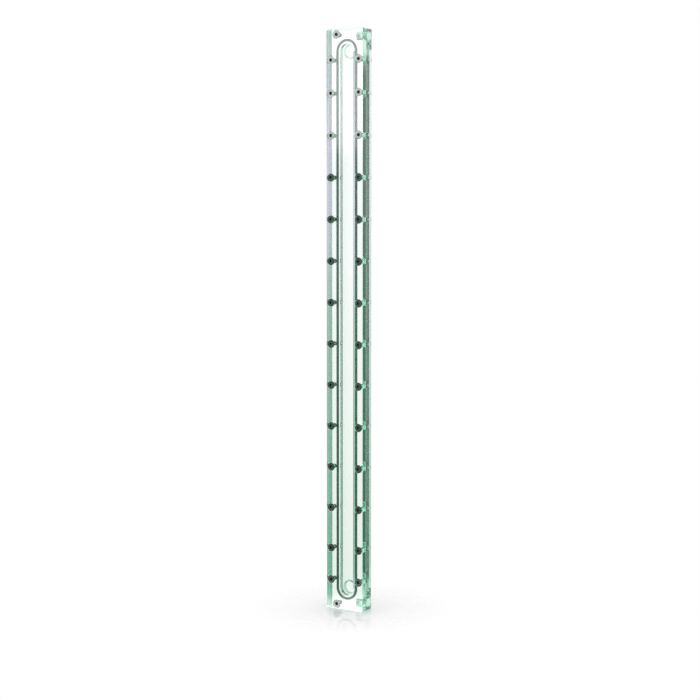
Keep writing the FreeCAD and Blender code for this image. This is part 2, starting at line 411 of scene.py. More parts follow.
@dataclass
class Shell:
    """Gathers patches of one piece, each with its surface, and welds them into a closed mesh.

    Args:
        name: The name of the piece.
        sharp_from: The angle in degrees from which an edge stays sharp.
        points: The points of each patch.
        triangles: The triangles of each patch, numbered through all the patches.
        surfaces: Where each triangle of each patch comes from.
    """

    name: str
    sharp_from: float = 10.0
    points: list[Array] = field(default_factory=list)
    triangles: list[Array] = field(default_factory=list)
    surfaces: list[Array] = field(default_factory=list)

    def add(self, points: Array, triangles: Array, surface: Surface) -> None:
        """Adds a patch.

        Args:
            points: The patch's points, in any grid shape.
            triangles: Point numbers within the patch.
            surface: Where the patch comes from.
        """
        first = sum(len(patch) for patch in self.points)
        self.points.append(points.reshape(-1, 3))
        self.triangles.append(triangles + first)
        self.surfaces.append(np.full(len(triangles), surface.value, np.int32))

    def grid(self, points: Array, surface: Surface, ring: bool = True) -> None:
        """Adds a grid of points, (rows, steps, 3), closed round its rows if it is a ring."""
        rows, steps = points.shape[:2]
        self.add(points, grid_triangles(rows, steps, ring), surface)

    def flat(
        self, loops: list[Array], level: float, surface: Surface, facing: Facing = Facing.REARWARD
    ) -> None:
        """Adds a flat face with holes.

        Args:
            loops: The outline and the holes, on the two axes of the plane.
            level: Where the plane stands on the facing axis.
            surface: Where the face comes from.
            facing: The axis across the plane.
        """
        corners, triangles = flat_triangles(loops)
        at = 0 if facing is Facing.SIDEWAYS else 1
        self.add(np.insert(corners, at, level, axis=1), triangles, surface)

    def piece(self) -> bpy.types.Object:
        """Makes the object: doubles merged, faces turned outwards, edges sharp only where they bend.

        Returns:
            The object, linked to the scene, at the origin.
        """
        mesh = new_mesh(self.name, np.concatenate(self.points), np.concatenate(self.triangles))
        mesh.polygons.foreach_set("material_index", np.concatenate(self.surfaces))
        welded = bmesh.new()
        welded.from_mesh(mesh)
        bmesh.ops.remove_doubles(welded, verts=welded.verts, dist=WELD_DISTANCE)
        bmesh.ops.recalc_face_normals(welded, faces=welded.faces)
        welded.to_mesh(mesh)
        welded.free()
        return placed(mesh, self.sharp_from)


# Finishes


@dataclass(frozen=True)
class Marks:
    """Fine marks or patches in a surface: noise in the piece's own frame.

    Args:
        scale: How fine they are, in marks a metre.
        stretch: How much finer they are along each axis.
        depth: Their depth in metres, where they have one.
        strength: The share of that depth that shows.
        detail: How many finer layers they have.
    """

    scale: float
    stretch: tuple[float, float, float] = (1.0, 1.0, 1.0)
    depth: float = 2e-8
    strength: float = 0.2
    detail: float = 3.0


def opaque(colour: Colour) -> tuple[float, float, float, float]:
    """A colour with its fourth number, as a socket holds it."""
    return (*colour, 1.0)


class Board:
    """A small helper that adds nodes to a node tree and joins them."""

    def __init__(self, tree: bpy.types.NodeTree) -> None:
        """Keeps the tree that the nodes go into."""
        self.tree = tree

    def join(self, socket: bpy.types.NodeSocket, value: object) -> None:
        """Links an output to an input socket, or sets a constant straight on it.

        Args:
            socket: The input socket.
            value: An output socket or a constant.
        """
        if isinstance(value, bpy.types.NodeSocket):
            self.tree.links.new(value, socket)
        else:
            socket.default_value = value

    def fill(self, node: bpy.types.Node, values: dict[str, object]) -> None:
        """Fills a node's named inputs with output sockets or constants."""
        for name, value in values.items():
            self.join(node.inputs[name], value)

    def node(self, kind: str, **inputs: object) -> bpy.types.Node:
        """Adds a node and fills its sockets.

        Args:
            kind: The node's type, without the leading ShaderNode.
            inputs: A value or an output socket for each named input, with _ for a blank.

        Returns:
            The node.
        """
        made = self.tree.nodes.new("ShaderNode" + kind)
        self.fill(made, {name.replace("_", " "): value for name, value in inputs.items()})
        return made

    def output(self, kind: str, name: str) -> bpy.types.NodeSocket:
        """Adds a node without inputs and gives one of its outputs."""
        return self.node(kind).outputs[name]

    def finish(self, name: str, value: bpy.types.NodeSocket) -> None:
        """Links a socket to a named input of the material's output."""
        self.join(self.tree.nodes["Material Output"].inputs[name], value)

    def worked_out(
        self, kind: str, result: str, operation: str, sockets: tuple[object, ...]
    ) -> bpy.types.NodeSocket:
        """Adds a node of mathematics.

        Args:
            kind: The node's type, Math or VectorMath.
            result: The name of the output to give.
            operation: What the node does.
            sockets: What goes into its inputs, in order.

        Returns:
            The result.
        """
        made = self.node(kind)
        made.operation = operation
        for socket, value in zip(made.inputs, sockets):
            self.join(socket, value)
        return made.outputs[result]

    def spread(
        self,
        value: bpy.types.NodeSocket,
        low: float,
        high: float,
        to_low: float = 0.0,
        to_high: float = 1.0,
    ) -> bpy.types.NodeSocket:
        """Maps a range of values evenly onto another.

        Args:
            value: The socket to map.
            low: The value that becomes to_low.
            high: The value that becomes to_high.
            to_low: The lower result.
            to_high: The upper result.

        Returns:
            The mapped socket.
        """
        mapped = self.node("MapRange", Value=value)
        self.fill(mapped, {"From Min": low, "From Max": high, "To Min": to_low, "To Max": to_high})
        return mapped.outputs["Result"]

    def ramp(self, value: bpy.types.NodeSocket, stops: dict[float, Colour]) -> bpy.types.NodeSocket:
        """Turns a value from 0 to 1 into a colour.

        Args:
            value: The socket to read.
            stops: The colour at each value.

        Returns:
            The colour socket.
        """
        made = self.node("ValToRGB", Fac=value)
        elements = made.color_ramp.elements
        for position in list(stops)[len(elements):]:
            elements.new(position)
        for element, (position, colour) in zip(elements, sorted(stops.items())):
            element.position = position
            element.color = opaque(colour)
        return made.outputs["Color"]

    def mixed(
        self, share: bpy.types.NodeSocket, first: Paint, second: Paint, blend: str = "MIX"
    ) -> bpy.types.NodeSocket:
        """Mixes two colours, the second by the given share.

        Args:
            share: The share of the second colour.
            first: The first colour.
            second: The second colour.
            blend: How the second colour meets the first.

        Returns:
            The colour socket.
        """
        share_input, first_input, second_input, colour_output = 0, 6, 7, 2
        made = self.node("Mix")
        made.data_type = "RGBA"
        made.blend_type = blend
        self.join(made.inputs[share_input], share)
        self.join(made.inputs[first_input], first)
        self.join(made.inputs[second_input], second)
        return made.outputs[colour_output]

    def grain(self, marks: Marks) -> bpy.types.NodeSocket:
        """Noise in the piece's own frame, from 0 to 1.

        Args:
            marks: How fine the noise is.

        Returns:
            The noise.
        """
        own = self.output("TexCoord", "Object")
        place = self.node("Mapping", Vector=own, Scale=marks.stretch).outputs["Vector"]
        noise = self.node("TexNoise", Vector=place, Scale=marks.scale, Detail=marks.detail)
        return noise.outputs["Fac"]

    def bumped(
        self, height: bpy.types.NodeSocket, depth: float, strength: float
    ) -> bpy.types.NodeSocket:
        """The normal of a surface that rises and falls by a height."""
        bump = self.node("Bump", Height=height, Distance=depth, Strength=strength)
        return bump.outputs["Normal"]


def new_material(name: str) -> tuple[bpy.types.Material, Board, bpy.types.Node]:
    """An empty material.

    Args:
        name: The finish's name.

    Returns:
        The material, a board for its nodes, and its shader node.
    """
    material = bpy.data.materials.new(name)
    material.use_nodes = True
    return material, Board(material.node_tree), material.node_tree.nodes["Principled BSDF"]


@dataclass(frozen=True)
class ClearAcrylic:
    """Clear cast acrylic: sharp refraction, a green body colour in long light paths, and fine marks.

    Args:
        name: The finish's name.
        haze: The lowest and highest roughness.
        marks: The marks that the tool or the polish leaves.
        tint: The colour that light takes where it crosses the surface, and the colour of the share that
            is scattered. On the sunk finish it is painted light, on the sawn one painted shade.
        clarity: The share of light that crosses the surface. The rest is scattered by its marks.
        gloss: The specular level over the light that is scattered.
        body: The colour that light takes on its way through.
        density: How fast it takes that colour, a metre.
        index: The refractive index.
        hazy_between: The values of the noise between which the roughness grows.
    """

    name: str
    haze: Span
    marks: Marks
    tint: Colour = WHITE
    clarity: float = 1.0
    gloss: float = 0.5
    body: Colour = (0.35, 0.90, 0.70)
    density: float = 6.0
    index: float = 1.49
    hazy_between: Span = (0.35, 0.75)

    def material(self) -> bpy.types.Material:
        """Makes the material: the surface from the marks' noise, and the body as absorption.

        Returns:
            The material.
        """
        material, board, shader = new_material(self.name)
        marks = board.grain(self.marks)
        board.fill(
            shader,
            {
                "Base Color": opaque(self.tint),
                "IOR": self.index,
                "Transmission Weight": self.clarity,
                "Specular IOR Level": self.gloss,
                "Roughness": board.spread(marks, *self.hazy_between, *self.haze),
                "Normal": board.bumped(marks, self.marks.depth, self.marks.strength),
            },
        )
        volume = board.node("VolumeAbsorption", Color=opaque(self.body), Density=self.density)
        board.finish("Volume", volume.outputs["Volume"])
        return material


@dataclass(frozen=True)
class SealRubber:
    """Dark green seal rubber with a fine moulded grain and a little bloom. Its upper half is painted
    light: a greyer, lighter tone that stands in for reflections.

    Args:
        name: The finish's name.
        deep: The colour of the rubber in the plate's lower half.
        painted_light_upper: Its colour in the upper half.
        turns_at: The heights in metres between which one turns into the other.
        bloom: The colour where bloom has come to the surface.
        patches: The patches of bloom.
        blooms_between: The values of their noise between which the bloom sets in.
        gloss: The specular level.
        roughness: The lowest and highest roughness.
        grain: The moulded grain.
        rough_between: The values of its noise between which the roughness grows.
    """

    name: str = "seal_rubber"
    deep: Colour = (0.003, 0.056, 0.028)
    # The upper colour is painted light: greyer and lighter, standing in for reflections on the seal's
    # upper half.
    painted_light_upper: Colour = (0.034, 0.088, 0.058)
    turns_at: Span = (-0.12, 0.02)
    bloom: Colour = (0.020, 0.085, 0.050)
    patches: Marks = Marks(55.0, detail=4.0)
    blooms_between: Span = (0.5, 0.72)
    gloss: float = 0.2
    roughness: Span = (0.42, 0.6)
    grain: Marks = Marks(4200.0, depth=2e-5, strength=0.5, detail=2.0)
    rough_between: Span = (0.3, 0.7)

    def material(self) -> bpy.types.Material:
        """Makes the material: a colour by height, lighter towards the top as painted light, with patches
        of bloom, over a moulded grain.

        Returns:
            The material.
        """
        material, board, shader = new_material(self.name)
        grain = board.grain(self.grain)
        place = board.node("SeparateXYZ", Vector=board.output("TexCoord", "Object"))
        # Painted light: the rubber turns greyer and lighter towards the top of the plate.
        upper = board.spread(place.outputs["Z"], *self.turns_at)
        rubber = board.mixed(upper, opaque(self.deep), opaque(self.painted_light_upper))
        bloomed = board.spread(board.grain(self.patches), *self.blooms_between)
        board.fill(
            shader,
            {
                "Base Color": board.mixed(bloomed, rubber, opaque(self.bloom)),
                "Specular IOR Level": self.gloss,
                "Roughness": board.spread(grain, *self.rough_between, *self.roughness),
                "Normal": board.bumped(grain, self.grain.depth, self.grain.strength),
            },
        )
        return material


@dataclass(frozen=True)
class BlackSteel:
    """Black oxide on steel: a dark satin metal with turning rings, brown rubbed spots and painted shade
    in the sockets.

    Args:
        name: The finish's name.
        black: The colour of the oxide.
        rubbed: The colour where the oxide is worn.
        spots: The rubbed spots.
        worn_between: The values of their noise between which the oxide is worn.
        socket: The colour inside the sockets: painted shade that darkens the recesses.
        socket_shade_edge: The radii in metres between which that colour ends.
        ring_pitch: The pitch of the turning rings in metres.
        ring_depth: Their depth in metres.
        ring_strength: The share of that depth that shows.
        roughness: The lowest and highest roughness.
        rough_between: The values of the spots' noise between which the roughness grows.
    """

    name: str = "black_steel"
    black: Colour = (0.070, 0.080, 0.076)
    rubbed: Colour = (0.118, 0.120, 0.112)
    spots: Marks = Marks(900.0, detail=5.0)
    worn_between: Span = (0.40, 0.78)
    # Painted shade: the inside of the sockets is darker to stand in for the shade in the recess.
    socket: Colour = (0.028, 0.034, 0.030)
    socket_shade_edge: Span = (0.00145, 0.00155)
    ring_pitch: float = 0.00016
    ring_depth: float = 5e-7
    ring_strength: float = 0.15
    roughness: Span = (0.04, 0.07)
    rough_between: Span = (0.3, 0.7)

    def material(self) -> bpy.types.Material:
        """Makes the material. The rings are a sine of the distance from the screw's axis. Inside the
        sockets the colour is painted shade.

        Returns:
            The material.
        """
        material, board, shader = new_material(self.name)
        spots = board.grain(self.spots)
        oxide = board.ramp(spots, dict(zip(self.worn_between, (self.black, self.rubbed))))
        layer = board.node("Attribute")
        layer.attribute_name = RADIUS_LAYER
        radius = layer.outputs["Fac"]
        # Painted shade: the colour turns dark within the sockets' radius.
        outside = board.spread(radius, *self.socket_shade_edge)
        turns = board.worked_out("Math", "Value", "MULTIPLY", (radius, FULL_TURN / self.ring_pitch))
        rings = board.worked_out("Math", "Value", "SINE", (turns,))
        board.fill(
            shader,
            {
                "Metallic": 1.0,
                "Base Color": board.mixed(outside, opaque(self.socket), oxide),
                "Roughness": board.spread(spots, *self.rough_between, *self.roughness),
                "Normal": board.bumped(rings, self.ring_depth, self.ring_strength),
            },
        )
        return material


POLISH = Marks(240.0, (1.0, 1.0, 2.0))
TOOL_MARKS = Marks(900.0, (1.0, 4.0, 0.6))
SAW_MARKS = Marks(900.0, (1.0, 2.0, 0.03))
ACRYLIC = {
    Surface.POLISHED: ClearAcrylic("polished_acrylic", (0.0, 0.004), POLISH),
    Surface.CUT: ClearAcrylic("cut_acrylic", (0.0, 0.01), TOOL_MARKS),
    Surface.EDGE: ClearAcrylic("edge_acrylic", (0.01, 0.03), SAW_MARKS, (0.82, 0.86, 0.85), 0.9),
    # Painted shade: the left side's dark green tint darkens it. Its roughness is the saw's.
    Surface.SAWN: ClearAcrylic("sawn_acrylic_painted_shade", (0.01, 0.03), SAW_MARKS, (0.30, 0.46, 0.38), 0.7),
    Surface.GROUND: ClearAcrylic("ground_acrylic", (0.01, 0.03), SAW_MARKS, (0.74, 0.90, 0.83), 0.5),
    Surface.DRILLED: ClearAcrylic("drilled_acrylic", (0.01, 0.04), TOOL_MARKS, (0.80, 0.97, 0.90)),
    # Painted light: the countersinks and clearance holes are a matt, opaque bright mint that stands in
    # for the glints of light in them. Their matt, frosted look is the drilled wall's own.
    Surface.SUNK: ClearAcrylic("sunk_acrylic_painted_glint", (0.30, 0.50), TOOL_MARKS, (0.42, 1.0, 0.70), 0.0, 0.0),
    Surface.BORED: ClearAcrylic("bored_acrylic", (0.15, 0.3), TOOL_MARKS, (0.62, 0.97, 0.82), 0.8),
}


# Sub-assemblies


@dataclass(frozen=True)
class ScrewPattern:
    """Where the screws stand, seen from the front.

    Args:
        across: How far the edge screws stand from the middle.
        pitch: The distance between the even screws of an edge.
        even: How many of them each half of an edge has.
        last: The height of the last screw of a half.
        end: Where the upper end screw stands. The lower one mirrors it.
    """

    across: float = 14.5
    pitch: float = 38.0
    even: int = 6
    last: float = 238.75
    end: Point = (-8.6, 261.3)

    def edge(self, side: int) -> Array:
        """The places of one edge's screws.

        The even screws of the upper half stand at one half, one and a half and so on times the
        pitch, and the lower half mirrors the upper one.

        Args:
            side: 1 for the right edge, -1 for the left one.

        Returns:
            The places as (count, 2), from the foot upwards.
        """
        upper = np.append(self.pitch * (np.arange(self.even) + 0.5), self.last)
        heights = np.concatenate([-upper[::-1], upper])
        return np.stack([np.full_like(heights, side * self.across), heights], -1)

    def ends(self) -> Array:
        """The places of the two end screws, as (2, 2)."""
        return np.array([(self.end[0], half * self.end[1]) for half in UPPER_AND_LOWER])

    def all(self) -> Array:
        """The places of all the screws, as (count, 2)."""
        return np.concatenate([self.edge(-1), self.edge(1), self.ends()])


@dataclass(frozen=True)
class ChannelForm:
    """The channel and the seal's groove, which follow one path with round ends.

    Args:
        reach: The height of the upper arc's centre, where the upper port is.
        radius: The radius of the channel's ends, half its width.
        floor: The level of its floor.
        fillet: The radius between its wall and its floor.
        fillet_steps: How many steps that fillet has.
        groove: The inner and the outer radius of the seal's groove.
        groove_floor: The level of the groove's floor.
    """

    reach: float = PORT_HEIGHT
    radius: float = 6.85
    floor: float = CHANNEL_FLOOR
    fillet: float = 0.5
    fillet_steps: int = 4
    groove: Span = (8.60, 10.85)
    groove_floor: float = -8.5

    def path(self, arc_steps: int, run_steps: int) -> Path:
        """The path that the channel, its groove and the seal follow."""
        return Path.stadium(self.reach, arc_steps, run_steps)


@dataclass(frozen=True)
class PlateForm:
    """The outer form that both plates share, and how their edges are broken.

    Args:
        half: Half the width and half the height.
        corner: The radius of the four upright corners.
        corner_steps: How many steps such a corner has.
        arris: The radius of the broken edges.
        arris_steps: How many steps a broken edge has.
        hole_steps: How many steps a round hole has.
    """

    half: Point = (HALF_WIDTH, HALF_HEIGHT)
    corner: float = 0.5
    corner_steps: int = 3
    arris: float = 0.15
    arris_steps: int = 3
    hole_steps: int = 40

    def outline(self) -> Path:
        """The outline of the plates."""
        return Path.rounded_box(self.half, self.corner, self.corner_steps)

    def face_loop(self) -> Array:
        """The outline of a face inside its broken edge."""
        return self.outline().at(self.corner - self.arris)

    def rim(self, level: float, inward: int) -> Array:
        """A broken edge: a quarter circle carried round the outline.

        Args:
            level: The level of the face.
            inward: 1 if the plate lies to the rear of the face, else -1.

        Returns:
            Points as (rows, steps, 3), from the face to the wall.
        """
        way_in, way_down = quarter_round(self.arris, self.arris_steps)
        return self.outline().lifted(self.corner - way_in, level + inward * way_down)

    def wall(self, front: float, rear: float) -> Array:
        """The straight part of the side wall, from near the front to near the rear."""
        levels = np.array([front + self.arris, rear - self.arris])
        return self.outline().lifted(np.full(2, self.corner), levels)

    def end_and_left_walls(self, front: float, rear: float) -> tuple[Array, Array, Array]:
        """The wall without its right side, cut at the left side's two ends.

        Args:
            front: The level of the front face.
            rear: The level of the rear face.

        Returns:
            The upper end, the left side and the lower end.
        """
        wall = self.wall(front, rear)
        upper, lower = 2 * self.corner_steps + 1, 2 * self.corner_steps + 2
        return wall[:, : upper + 1], wall[:, upper : lower + 1], wall[:, lower:]

    def side_loop(self, front: float, rear: float) -> Array:
        """The outline of the flat right side.

        Args:
            front: The level of the front face.
            rear: The level of the rear face.

        Returns:
            The four corners, on the depth and height axes.
        """
        low, high = front + self.arris, rear - self.arris
        top = self.half[1] - self.corner
        return np.array([(low, -top), (high, -top), (high, top), (low, top)])


@dataclass
class ClearPlate:
    """What the two clear plates share.

    Args:
        form: The outer form.
        screws: Where the screws pass.
        node: The node that the plate stands for.
    """

    form: PlateForm
    screws: ScrewPattern
    node: str

    def holes(self) -> list[Path]:
        """The circles of the screws' holes."""
        return [Path.circle(place, self.form.hole_steps) for place in self.screws.all()]

    def dress(self, thing: bpy.types.Object, acrylic: dict[Surface, bpy.types.Material]) -> None:
        """Gives each kind of surface its finish.

        Args:
            thing: The plate.
            acrylic: The material of each kind of surface.
        """
        for surface in Surface:
            thing.data.materials.append(acrylic[surface])
        hand_over(thing, self.node)


@dataclass
class BasePlate(ClearPlate):
    """The rear plate, with the channel, the seal's groove, two threaded ports and two side bores.

    Args:
        channel: The channel and the groove.
        front: The level of the front face.
        rear: The level of the rear face.
        port_minor: The radius of a port's bore.
        port_major: The radius of its thread's roots.
        port_pitch: The pitch of its thread.
        port_run_out: The length over which its thread fades, in pitches.
        port_mouth: The depth of its mouth at 45 degrees.
        port_steps: How many steps a port has.
        rows_a_pitch: How many rows a pitch has.
        bore_radius: The radius of a side bore.
        bore_depth: Its depth.
        bore_mouth: The size of its broken edge.
        bore_place: The level and the height of the upper one. The lower one mirrors it.
        tap_radius: The radius of a tapped hole.
        tap_floor: The level where its wall ends.
        drill_point: Half the angle of the drill's point, in degrees.
        arc_steps: How many steps the channel's round ends have.
        run_steps: How many steps its straight runs have.
    """

    node: str = "base_plate"
    channel: ChannelForm = ChannelForm()
    front: float = BASE_FRONT
    rear: float = BASE_REAR
    port_minor: float = PORT["dims"]["r_mm"]
    port_major: float = 6.40
    port_pitch: float = 1.337
    port_run_out: float = 0.5
    port_mouth: float = PORT_MOUTH
    port_steps: int = 96
    rows_a_pitch: int = 10
    bore_radius: float = SIDE_BORE["dims"]["r_mm"]
    bore_depth: float = SIDE_BORE["dims"]["length_mm"]
    bore_mouth: float = 0.3
    bore_place: Point = (BORE_LEVEL, BORE_HEIGHT)
    tap_radius: float = 1.66
    tap_floor: float = -3.05
    drill_point: float = 59.0
    arc_steps: int = 48
    run_steps: int = 12

    def build(self) -> bpy.types.Object:
        """Builds the plate from its walls and flat faces.

        Returns:
            The plate.
        """
        shell = Shell("clear_base")
        self.add_outside(shell)
        self.add_channel(shell)
        for port in self.ports():
            self.add_port(shell, port)
        for bore in self.side_bores():
            self.add_side_bore(shell, bore)
        for hole in self.holes():
            self.add_tapped_hole(shell, hole)
        return shell.piece()

    def ports(self) -> list[Path]:
        """The circles of the two ports."""
        heights = [half * self.channel.reach for half in UPPER_AND_LOWER]
        return [Path.circle((0.0, height), self.port_steps) for height in heights]

    def side_bores(self) -> list[Path]:
        """The circles of the two side bores, on the depth and height axes."""
        level, height = self.bore_place
        return [Path.circle((level, half * height), self.form.hole_steps) for half in UPPER_AND_LOWER]

    def add_outside(self, shell: Shell) -> None:
        """Adds the side wall, its broken edges, and the front, rear and right faces.

        Args:
            shell: The shell of the plate.
        """
        form = self.form
        shell.grid(form.rim(self.front, 1), Surface.EDGE)
        shell.grid(form.rim(self.rear, -1), Surface.EDGE)
        upper_end, left, lower_end = form.end_and_left_walls(self.front, self.rear)
        shell.grid(upper_end, Surface.GROUND, ring=False)
        # The left side's sawn finish carries painted shade, a dark green tint.
        shell.grid(left, Surface.SAWN, ring=False)
        shell.grid(lower_end, Surface.GROUND, ring=False)
        bores = [bore.at(self.bore_radius + self.bore_mouth) for bore in self.side_bores()]
        right = [form.side_loop(self.front, self.rear), *bores]
        shell.flat(right, form.half[0], Surface.EDGE, Facing.SIDEWAYS)
        groove = self.channel.path(self.arc_steps, self.run_steps).at(self.channel.groove[1])
        taps = [hole.at(self.tap_radius) for hole in self.holes()]
        shell.flat([form.face_loop(), groove, *taps], self.front, Surface.POLISHED)
        mouths = [port.at(self.port_minor + self.port_mouth) for port in self.ports()]
        shell.flat([form.face_loop(), *mouths], self.rear, Surface.POLISHED)

    def add_channel(self, shell: Shell) -> None:
        """Adds the groove, the land beside it, the channel's wall with its fillet, and its floor.

        Args:
            shell: The shell of the plate.
        """
        form = self.channel
        path = form.path(self.arc_steps, self.run_steps)
        inner, outer = form.groove
        groove_radii = np.array([outer, outer, inner, inner])
        groove_levels = np.array([self.front, form.groove_floor, form.groove_floor, self.front])
        shell.grid(path.lifted(groove_radii, groove_levels), Surface.CUT)
        land = np.array([inner, form.radius])
        shell.grid(path.lifted(land, np.full(2, self.front)), Surface.POLISHED)
        way_in, way_down = quarter_round(form.fillet, form.fillet_steps)
        radii = np.append(form.radius, form.radius - way_in[::-1])
        levels = np.append(self.front, form.floor - way_down[::-1])
        shell.grid(path.lifted(radii, levels), Surface.CUT)
        ports = [port.at(self.port_minor) for port in self.ports()]
        shell.flat([path.at(radii[-1]), *ports], form.floor, Surface.POLISHED)

    def add_port(self, shell: Shell, port: Path) -> None:
        """Adds a port: a pipe thread cut outwards from the bore, and a mouth at 45 degrees.

        The radius is the bore's plus the thread's height times its depth.

        Args:
            shell: The shell of the plate.
            port: The port's circle.
        """
        first, last = self.channel.floor, self.rear - self.port_mouth
        count = round((last - first) / self.port_pitch * self.rows_a_pitch)
        levels = np.linspace(first, last, count + 1)
        angles = np.arange(self.port_steps) * FULL_TURN / self.port_steps
        run_out = self.port_run_out * self.port_pitch
        ridge = thread_height(levels, angles, self.port_pitch, run_out)
        radii = self.port_minor + (self.port_major - self.port_minor) * ridge
        shell.grid(port.lifted(radii, levels), Surface.BORED)
        mouth = np.array([self.port_minor, self.port_minor + self.port_mouth])
        shell.grid(port.lifted(mouth, np.array([last, self.rear])), Surface.BORED)

    def add_side_bore(self, shell: Shell, bore: Path) -> None:
        """Adds a blind bore in the right side: a broken mouth, a wall and a flat floor.

        Args:
            shell: The shell of the plate.
            bore: The bore's circle.
        """
        radius, mouth, side = self.bore_radius, self.bore_mouth, self.form.half[0]
        floor = side - self.bore_depth
        radii = np.array([radius + mouth, radius, radius, 0.0])
        levels = np.array([side, side - mouth, floor, floor])
        shell.grid(bore.lifted(radii, levels, Facing.SIDEWAYS), Surface.BORED)

    def add_tapped_hole(self, shell: Shell, hole: Path) -> None:
        """Adds a tapped hole: its wall and the drill's point.

        Args:
            shell: The shell of the plate.
            hole: The hole's circle.
        """
        tip = self.tap_floor + self.tap_radius / math.tan(math.radians(self.drill_point))
        radii = np.array([self.tap_radius, self.tap_radius, 0.0])
        levels = np.array([self.front, self.tap_floor, tip])
        shell.grid(hole.lifted(radii, levels), Surface.DRILLED)


@dataclass
class FrontCover(ClearPlate):
    """The front plate, with a countersunk hole for each screw.

    Args:
        front: The level of the front face.
        rear: The level of the rear face.
        sink_radius: The radius of a countersink at the front face.
        clear_rim: How far in from there the countersink is clear, past the screw's head.
        hole_radius: The radius of the clearance hole behind it.
    """

    node: str = "front_cover"
    front: float = COVER_FRONT
    rear: float = COVER_REAR
    sink_radius: float = 4.0
    clear_rim: float = 0.5
    hole_radius: float = 2.2

    def build(self) -> bpy.types.Object:
        """Builds the cover from its wall, its faces and its holes.

        A countersink is a cone of 90 degrees, so its depth is what its radius has lost.

        Returns:
            The cover.
        """
        form, holes = self.form, self.holes()
        shell = Shell("clear_cover")
        shell.grid(form.rim(self.front, 1), Surface.CUT)
        shell.grid(form.rim(self.rear, -1), Surface.CUT)
        shell.grid(form.wall(self.front, self.rear), Surface.CUT)
        for level, radius in ((self.front, self.sink_radius), (self.rear, self.hole_radius)):
            mouths = [hole.at(radius) for hole in holes]
            shell.flat([form.face_loop(), *mouths], level, Surface.POLISHED)
        cone = np.array([self.sink_radius, self.sink_radius - self.clear_rim, self.hole_radius])
        levels = self.front + self.sink_radius - cone
        wall_radii, wall_levels = np.append(cone[1:], cone[-1]), np.append(levels[1:], self.rear)
        for hole in holes:
            shell.grid(hole.lifted(cone[:2], levels[:2]), Surface.DRILLED)
            # The countersinks' walls and holes take the sunk finish, painted light in bright mint.
            shell.grid(hole.lifted(wall_radii, wall_levels), Surface.SUNK)
        return shell.piece()


@dataclass
class ChannelSeal:
    """The seal: a cord squeezed to a rounded section, laid in its groove round the channel.

    Args:
        screws: Where the screws squeeze it.
        channel: The channel that it goes round.
        node: The node that it stands for.
        bite: How far it presses into each wall of the groove.
        corner: The radius of its section's corners.
        corner_steps: How many steps such a corner has.
        bulge: The share by which it is wider beside a screw.
        bulge_reach: How far along the channel it is wider.
        arc_steps: How many steps its round ends have.
        run_steps: How many steps its straight runs have.
        sharp_from: The angle in degrees from which an edge stays sharp.
    """

    screws: ScrewPattern
    channel: ChannelForm
    node: str = "channel_seal"
    bite: float = 0.02
    corner: float = 0.22
    corner_steps: int = 6
    bulge: float = 0.01
    bulge_reach: float = 7.0
    arc_steps: int = 64
    run_steps: int = 130
    sharp_from: float = 60.0

    def build(self) -> bpy.types.Object:
        """Carries the section round the channel.

        A point of the section at (across, along the depth) follows the stadium whose radius is the
        groove's middle plus across. Across grows by the bulge where a bell curve of the distance to
        the nearest screw, in height, is near one.

        Returns:
            The seal.
        """
        inner, outer = self.channel.groove
        middle, level = (inner + outer) / 2, (SEAL_FRONT + SEAL_REAR) / 2
        half = ((outer - inner) / 2 + self.bite, (SEAL_REAR - SEAL_FRONT) / 2)
        section = Path.rounded_box(half, self.corner, self.corner_steps).at(self.corner)
        path = self.channel.path(self.arc_steps, self.run_steps)
        heights = self.screws.edge(1)[:, 1]
        nearest = np.abs(path.anchors[:, 1][:, None] - heights).min(axis=1)
        swell = 1 + self.bulge * np.exp(-((nearest / self.bulge_reach) ** 2))
        points = path.lifted(middle + section[:, :1] * swell, level + section[:, 1])
        rows, steps = points.shape[:2]
        triangles = outward(points, grid_triangles(rows, steps, ring=True, loop=True))
        return placed(new_mesh("squeezed_seal", points, triangles), self.sharp_from)

    def dress(self, thing: bpy.types.Object, rubber: bpy.types.Material) -> None:
        """Gives the seal its rubber."""
        thing.data.materials.append(rubber)
        hand_over(thing, self.node)


